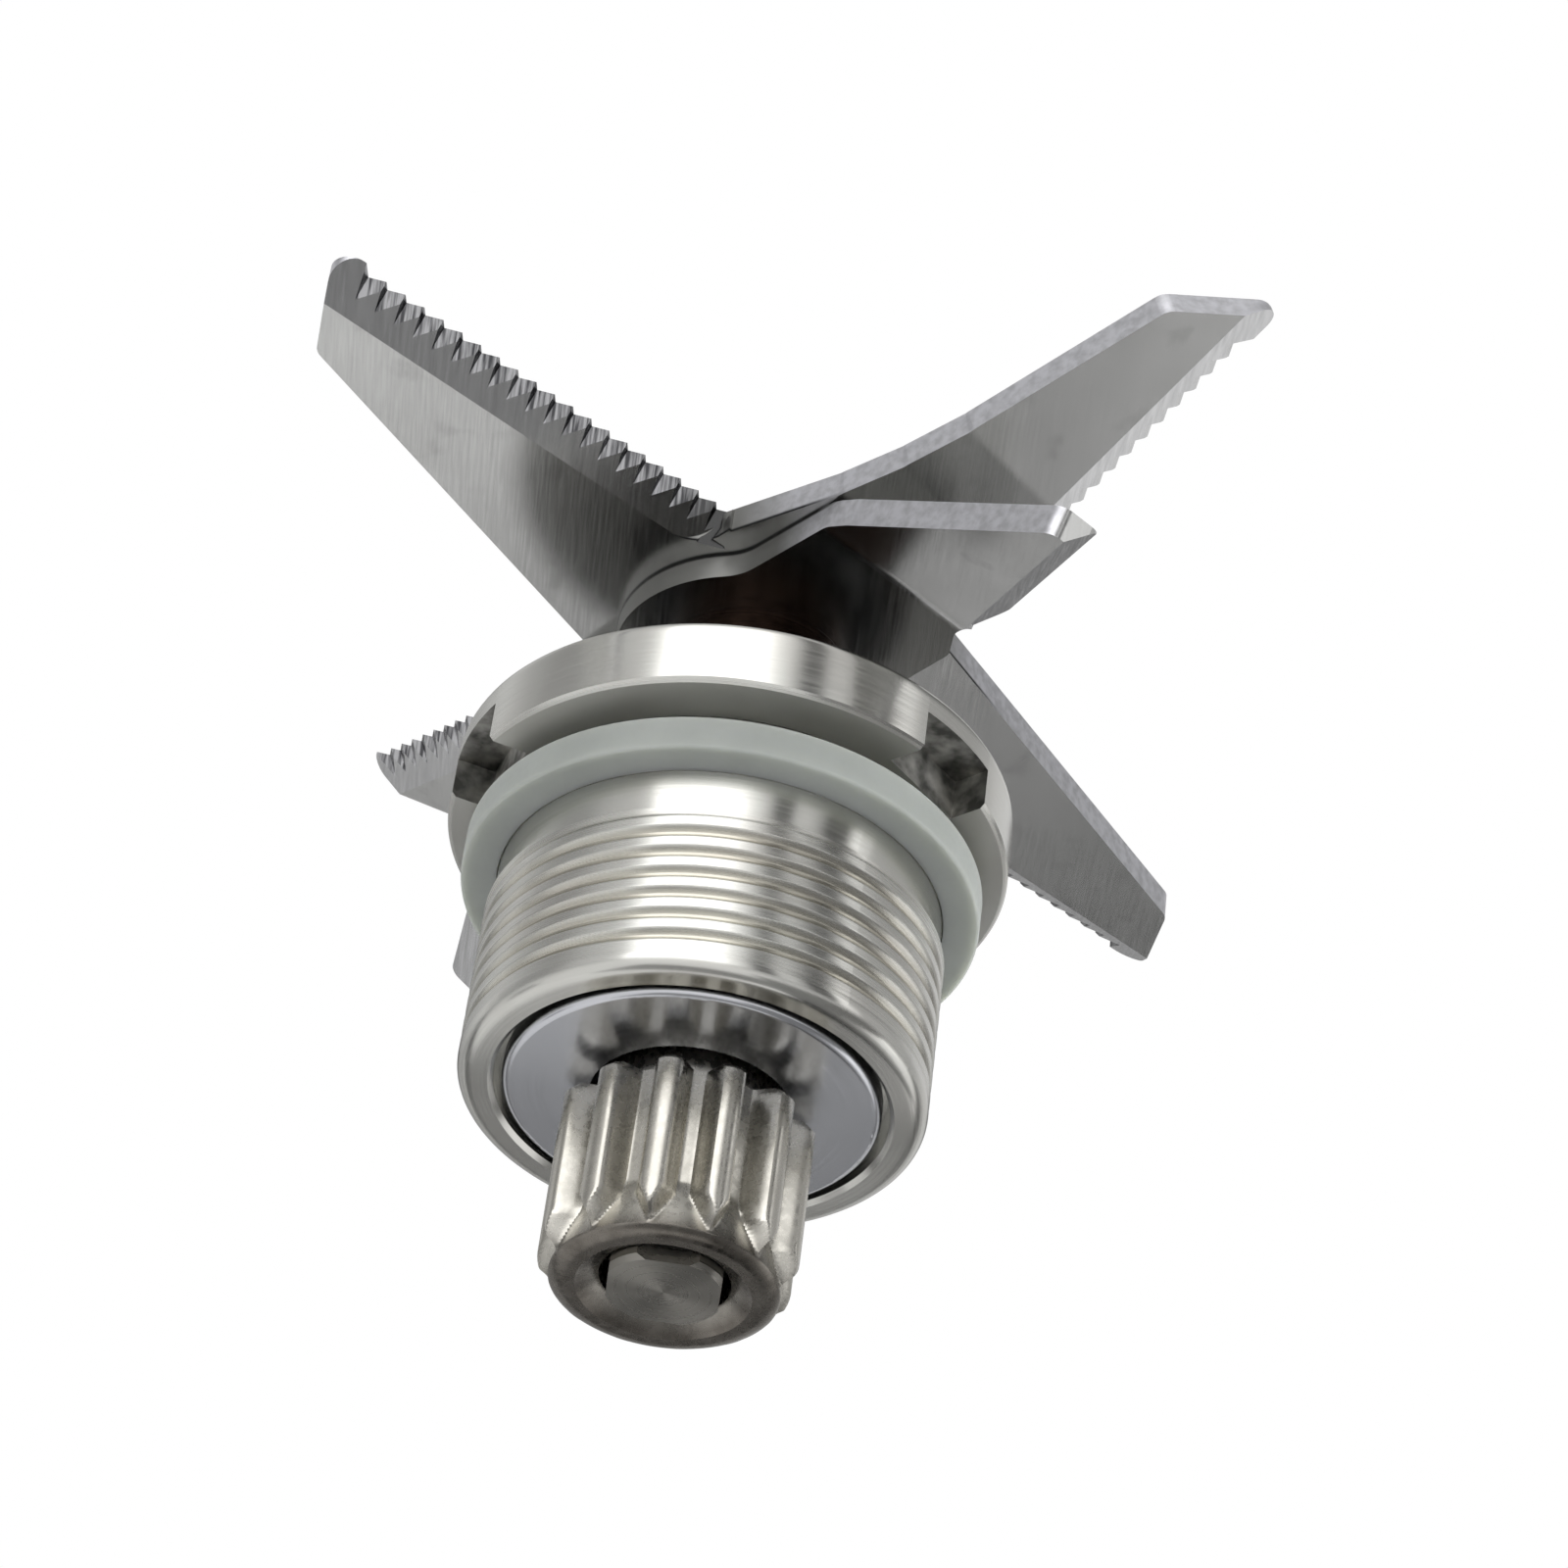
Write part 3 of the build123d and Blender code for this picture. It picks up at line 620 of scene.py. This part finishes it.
around = np.linspace(0, 2 * pi, tooth_columns * tooth_count, endpoint=False)
nose_turn = np.arange(nose_rows) / nose_rows * pi / 2
side_rise = np.concatenate([
    np.linspace(spline_top - spline_end, nose_length, side_rows, endpoint=False),
    nose_length * (1 - np.sin(nose_turn)),
])[:, None]
side = (spline_end + side_rise + 0 * around, toothed_radius(around, side_rise))
square_bore = np.minimum(
    square_half / np.maximum(np.abs(np.cos(around)), np.abs(np.sin(around))), mouth_radius
)
sink_floor = spline_end + sink_depth
mouth_floor = spline_end + mouth_depth
runs = [
    wall((spline_neck, spline_neck_radius), (spline_top, spline_neck_radius), 3),
    wall((spline_top, spline_neck_radius), (spline_top, side[1][0]), 4),
    side,
    wall((spline_end, end_ring_radius), (spline_end, sink_radius), 2),
    wall((spline_end, sink_radius), (sink_floor, mouth_radius), 5),
    wall((sink_floor, mouth_radius), (mouth_floor, mouth_radius), 2),
    wall((mouth_floor, mouth_radius), (mouth_floor, square_bore), 2),
    wall((mouth_floor, square_bore), (spline_top, square_bore), 3),
    wall((spline_top, square_bore), (spline_top, sleeve_radius), 2),
    wall((spline_top, sleeve_radius), (spline_neck, sleeve_radius), 2),
    wall((spline_neck, sleeve_radius), (spline_neck, spline_neck_radius), 2),
]
spline_height = np.concatenate([run[0] for run in runs])
spline_radius = np.concatenate([run[1] for run in runs])
spline = closed_skin(
    "spline_toothed",
    np.stack(
        [spline_radius * np.cos(around), spline_radius * np.sin(around), spline_height], -1
    ) * MM,
)


def between(tree, value, low, high):
    """0 where the value is at low, 1 where it is at high, straight between and level beyond."""
    inputs = {"Value": value, "From Min": low, "From Max": high}
    return add_node(tree, "MapRange", inputs).outputs[0]


# The tooth sides are pale and satin. Painted shade darkens the end and fades out up the nose.
spline_pale, spline_deep = (0.50, 0.485, 0.445), (0.43, 0.415, 0.375)
end_shade_dark, end_shade_pale = (0.12, 0.108, 0.094), (0.19, 0.175, 0.155)
end_shade_fade = (-0.0318, -0.0333)
spline_smooth, spline_rough = 0.20, 0.34
spline_steel, tree, shader = new_material("spline_steel")
# Painted shade on the end of the coupling: it fades in from z -31.8 mm and is full below -33.3 mm.
shaded_part = between(tree, split(tree, own_place(tree))["Z"], *end_shade_fade)
fill(tree, shader, {
    "Metallic": 1.0,
    "Base Color": blend(
        tree, shaded_part,
        clouds(tree, spline_pale, spline_deep, scale=300),
        clouds(tree, end_shade_dark, end_shade_pale, scale=700, detail=4),
    ),
    "Roughness": clouds(tree, spline_smooth, spline_rough, scale=1800, detail=6),
})
grain = noise(tree, own_place(tree), scale=2600, detail=4)
add_bump(tree, shader, grain, strength=0.35, depth=0.00001)
spline.data.materials.append(spline_steel)
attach(spline, "rotor")
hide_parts("drive_spline")


# Blades: stamped from cold-rolled stainless sheet, folded, then ground to an edge.
# The faces keep a satin brushing, the ground bevels show streaks across the edge, and the sheared
# edges are bright and torn. A painted shadow line runs where the two plates meet, and painted
# shade darkens the sheared edges and the cut teeth near the hub.
wing_heading = radians(36.4)
seam_height = 0.0182
seam_fade = (0.0003, 0.00012)
seam_reach = (0.018, 0.015)
root_reach = (0.0145, 0.0120)
torn_lean = (0.30, 0.42)
tooth_lean = (0.44, 0.64)
lean_edge = 0.04
bevel_edge = 0.02
sheet_pale, sheet_deep = (0.60, 0.60, 0.59), (0.52, 0.52, 0.51)
ground_deep, ground_pale = (0.58, 0.58, 0.585), (0.70, 0.70, 0.705)
tooth_dark, tooth_pale = (0.08, 0.08, 0.085), (0.42, 0.42, 0.43)
shear_deep, shear_pale = (0.46, 0.46, 0.48), (0.60, 0.60, 0.63)
# Painted shade: darker sheared edges and near-black teeth near the hub, and a near-black line at
# the seam.
shear_root_shade = (0.25, 0.25, 0.24)
tooth_root_shade = 0.09
seam_shade_grey = 0.015
smudge_grey = 0.87
sheet_smooth, sheet_rough = 0.18, 0.27
torn_roughness = 0.42


def streaks(tree, heading, scale, stretch):
    """Noise drawn out into lines: fine along the heading and longer by the stretch across it."""
    turned_place = add_node(tree, "Mapping", {
        "Vector": own_place(tree),
        "Rotation": (0, 0, -heading),
        "Scale": (1.0, 1 / stretch, 1 / stretch),
    }).outputs["Vector"]
    return noise(tree, turned_place, scale, detail=3.0)


def brushed_sheet(name, bevel_lean, tooth_share):
    """Rolled sheet: fine lines change the roughness and soft clouds the colour.

    The upright part of a face's normal, without its sign, tells what a face is. Walls square to
    the sheet are torn; painted shade makes them near black at the seam and darker near the hub.
    Faces that lean as far as the bevel are ground, with streaks square to the wing's edge, and
    those that lean as far as the teeth are cut, painted darker near the hub as shade.
    """
    material, tree, shader = new_material(name)
    normal = add_node(tree, "TexCoord").outputs["Normal"]
    lean = maths(tree, "ABSOLUTE", split(tree, normal)["Z"])
    torn = ramp(tree, lean, (torn_lean[0], 1.0), (torn_lean[1], 0.0))
    low, high = tooth_lean
    toothed = ramp(
        tree, lean, (low - lean_edge, 0.0), (low, tooth_share), (high, tooth_share),
        (high + lean_edge, 0.0),
    )
    low, high = bevel_lean
    ground = ramp(
        tree, lean, (low - lean_edge, 0.0), (low, 1.0), (high, 1.0), (high + bevel_edge, 0.0)
    )

    parts = split(tree, own_place(tree))
    reach = axis_distance(tree, parts)
    # Painted shadow line at the seam, and painted shade near the hub.
    from_seam = maths(tree, "ABSOLUTE", maths(tree, "SUBTRACT", parts["Z"], seam_height))
    seam_shade = maths(
        tree, "MULTIPLY", between(tree, from_seam, *seam_fade), between(tree, reach, *seam_reach)
    )
    root_shade = between(tree, reach, *root_reach)

    rolled = clouds(tree, sheet_pale, sheet_deep, scale=130, high=0.75)
    smudge = clouds(tree, 1.0, smudge_grey, scale=380, detail=7, low=0.58, high=0.70)
    tone = blend(tree, 1.0, rolled, smudge, "MULTIPLY")
    grind = streaks(tree, wing_heading, scale=4200.0, stretch=14)
    cut_tone = ramp(tree, grind, (0.38, tooth_dark), (0.60, tooth_pale))
    tone = blend(tree, toothed, tone, blend(tree, root_shade, cut_tone, tooth_root_shade))
    tone = blend(tree, ground, tone, ramp(tree, grind, (0.34, ground_deep), (0.64, ground_pale)))
    shear = clouds(tree, shear_deep, shear_pale, scale=1500, detail=5, low=0.34, high=0.62)
    edge_tone = blend(tree, seam_shade, blend(tree, root_shade, shear, shear_root_shade), seam_shade_grey)

    lines = streaks(tree, wing_heading + pi / 2, scale=6500.0, stretch=30)
    polish = ramp(tree, lines, (0.3, sheet_smooth), (0.7, sheet_rough))
    fill(tree, shader, {
        "Metallic": 1.0,
        "Base Color": blend(tree, torn, tone, edge_tone),
        "Roughness": blend(tree, torn, polish, torn_roughness),
    })
    add_bump(tree, shader, lines, strength=0.2, depth=0.000002)
    return material


finish_node("lower_blade", brushed_sheet("lower_sheet", bevel_lean=(0.62, 0.80), tooth_share=0.0))
finish_node("upper_blade", brushed_sheet("upper_sheet", bevel_lean=(0.70, 0.88), tooth_share=1.0))


# Lock washer and cap nut: zinc-plated steel. The nut is screwed on the spindle's thread and
# clamps both blades against its collar.
zinc_steel = turned_steel(
    "zinc_steel", pale=(0.66, 0.66, 0.66), deep=(0.55, 0.56, 0.58),
    smooth=0.18, rough=0.30, line_scale=2600, line_depth=0.000004,
)[0]
finish_node("lock_washer", zinc_steel)
finish_node("cap_nut", zinc_steel)


# Studio floor: plain pale paint, far below the part, which hangs in the air as in the
# photograph. Sizes of the studio are in metres.
floor_height = -0.26
floor_span = (-3.0, 3.0)
floor_deep, floor_pale = 0.74, 0.80
floor_roughness = 0.7


def flat_sheets(name, spans, height):
    """Level rectangles at a height, one for each pair of spans in X and Y. The four corners of
    each are joined in the order round its edge."""
    points = [np.stack(np.meshgrid(*span, [height]), -1).reshape(-1, 3) for span in spans]
    corners = np.arange(len(spans))[:, None] * 4 + [0, 1, 3, 2]
    return add_piece(name, np.concatenate(points), corners)


floor = flat_sheets("floor", [(floor_span, floor_span)], floor_height)
floor_paint, tree, shader = new_material("floor_paint")
fill(tree, shader, {
    "Base Color": clouds(tree, floor_deep, floor_pale, scale=6),
    "Roughness": floor_roughness,
})
floor.data.materials.append(floor_paint)


# Painted shade: dark matt sheets on the floor around the part and far behind it, which stand for
# shade and the part's shadow there. Only the steel's mirror images show them. Each has its span
# in X and Y, and the share of light that it gives back at the low and the high end of X.
shade_sheet_lift = 0.002
shade_sheet_roughness = 0.8
shade_patch_dark, shade_patch_pale = 0.85, 1.15
shade_sheet_spans = (
    ((0.10, 1.00), (-0.30, 0.02)), ((0.06, 0.22), (0.02, 0.30)), ((-0.02, 0.06), (0.10, 0.30)),
    ((-0.12, 0.10), (-0.16, 0.02)), ((-0.45, -0.30), (0.00, 0.13)), ((-1.00, 1.00), (0.345, 0.60)),
)
shade_sheet_levels = (
    (0.17, 0.03), (0.02, 0.45), (0.02, 0.02), (0.22, 0.22), (0.28, 0.28), (0.11, 0.11)
)
shade_sheets = flat_sheets("shade_sheets", shade_sheet_spans, floor_height + shade_sheet_lift)
add_mark(shade_sheets, "shade", "POINT", np.tile(np.array(shade_sheet_levels), 2))
shade_sheets.visible_camera = False
shade_sheets.visible_diffuse = False
shade_sheets.visible_shadow = False
shade_sheet_paint, tree, shader = new_material("shade_sheet_paint")
# Painted shade: the sheets' darkness stands for shade on the floor, in soft patches.
shade_patches = clouds(tree, shade_patch_dark, shade_patch_pale, scale=6)
sheet_shade_tone = maths(tree, "MULTIPLY", shade_patches, attribute(tree, "shade"))
fill(tree, shader, {"Base Color": sheet_shade_tone, "Roughness": shade_sheet_roughness})
shade_sheets.data.materials.append(shade_sheet_paint)


# Lamps: three soft square ones that face the part. Each has its place, its size and its power
# in watts, and the steel doesn't mirror them.
for name, place, size, watts in (
    ("top_lamp", (-0.15, -0.10, 0.70), 0.50, 1.6),
    ("back_lamp", (-0.45, 0.75, 0.45), 0.40, 2.5),
    ("right_lamp", (0.70, 0.05, 0.10), 0.40, 4.0),
):
    lamp = bpy.data.lights.new(name, "AREA")
    lamp.size = size
    lamp.energy = watts
    lamp_object = bpy.data.objects.new(name, lamp)
    lamp_object.location = place
    lamp_object.visible_glossy = False
    lamp_object.rotation_euler = (-Vector(place)).to_track_quat("-Z", "Y").to_euler()
    bpy.context.scene.collection.objects.link(lamp_object)


# Tent: a dome of lit silk that the steel mirrors and the camera doesn't see. Each pair is an
# azimuth in degrees, counted from the camera's side towards +X, and the brightness there, which
# runs straight to the next.
tent_radius = 1.2
tent_columns = 97
tent_rows = 25
tent_foot, tent_crown = -8, 90
full_light = 2.5
panels = (
    (-180, 0.45), (-140, 0.50), (-116, 0.80), (-100, 0.53), (-88, 0.41), (-75, 0.42), (-62, 0.66),
    (-48, 0.78), (-41, 1.05), (-36, 2.5), (3, 2.5), (9, 1.50), (16, 0.85), (21, 0.18), (27, 0.18),
    (31, 0.85), (38, 0.80), (43, 0.52), (47, 0.13), (58, 0.16), (62, 1.45), (68, 1.45), (74, 0.60),
    (110, 0.55), (130, 0.80), (160, 0.80), (180, 0.45),
)

# Two high parts of the dome, at the back and the right, are dark. Each has the axis that it lies
# on, where it fades in along that axis and in height, and its share of the full light.
dark_parts = (
    ("Y", (0.90, 0.96), (0.25, 0.5), 0.06),
    ("X", (0.55, 0.65), (0.78, 0.84), 0.03),
)
overhead_span = (0.95, 1.12)
overhead_light = 0.28
turn, rise = np.meshgrid(
    np.linspace(-pi, pi, tent_columns), np.radians(np.linspace(tent_foot, tent_crown, tent_rows))
)
silk = tent_radius * np.stack(
    [np.sin(turn) * np.cos(rise), -np.cos(turn) * np.cos(rise), np.sin(rise)], -1
)
index = np.arange(turn.size).reshape(turn.shape)
quads = np.stack([index[:-1, :-1], index[:-1, 1:], index[1:, 1:], index[1:, :-1]], -1)
tent = add_piece("tent", silk, quads)
tent.visible_camera = False
tent_silk, tree, shader = new_material("tent_silk")
parts = split(tree, own_place(tree))
to_camera = maths(tree, "MULTIPLY", parts["Y"], -1.0)
panel_azimuth = maths(tree, "ARCTAN2", parts["X"], to_camera)
stops = [((azimuth + 180) / 360, level / full_light) for azimuth, level in panels]
light = ramp(tree, between(tree, panel_azimuth, -pi, pi), *stops)
for axis, side_span, height_span, level in dark_parts:
    on_side = between(tree, parts[axis], *side_span)
    high_up = between(tree, parts["Z"], *height_span)
    light = blend(tree, maths(tree, "MULTIPLY", on_side, high_up), light, level)
light = blend(tree, between(tree, parts["Z"], *overhead_span), light, overhead_light)
glow = add_node(tree, "Emission", {"Color": light, "Strength": full_light})
fill(tree, tree.nodes["Material Output"], {"Surface": glow.outputs["Emission"]})
tent.data.materials.append(tent_silk)


# Background: plain white for the camera and in mirror images. To the rest of the scene it
# gives a soft light at a lower level.
soft_light = 0.4
white = 1.0
world = bpy.data.worlds.new("studio")
bpy.context.scene.world = world
world.use_nodes = True
tree = world.node_tree
seen = add_node(tree, "LightPath").outputs
direct = maths(tree, "MAXIMUM", seen["Is Camera Ray"], seen["Is Glossy Ray"])
direct = maths(tree, "MAXIMUM", direct, seen["Is Transmission Ray"])
level = add_node(tree, "MapRange", {"Value": direct, "To Min": soft_light, "To Max": white})
fill(tree, tree.nodes["Background"], {"Color": (1, 1, 1, 1), "Strength": level.outputs[0]})


# Camera: a long lens in front of the part and below it, which looks up as the photograph does.
# The colours are shown as they are, without a film look.
camera_data = bpy.data.cameras.new("camera")
camera_data.lens = 108.73
camera_data.sensor_width = 36.0
camera = bpy.data.objects.new("camera", camera_data)
camera.location = (0.0, -0.249524, -0.185617)
camera.rotation_euler = (radians(127.902), radians(-6.232), radians(-5.537))
bpy.context.scene.collection.objects.link(camera)
bpy.context.scene.camera = camera
bpy.context.scene.view_settings.view_transform = "Standard"
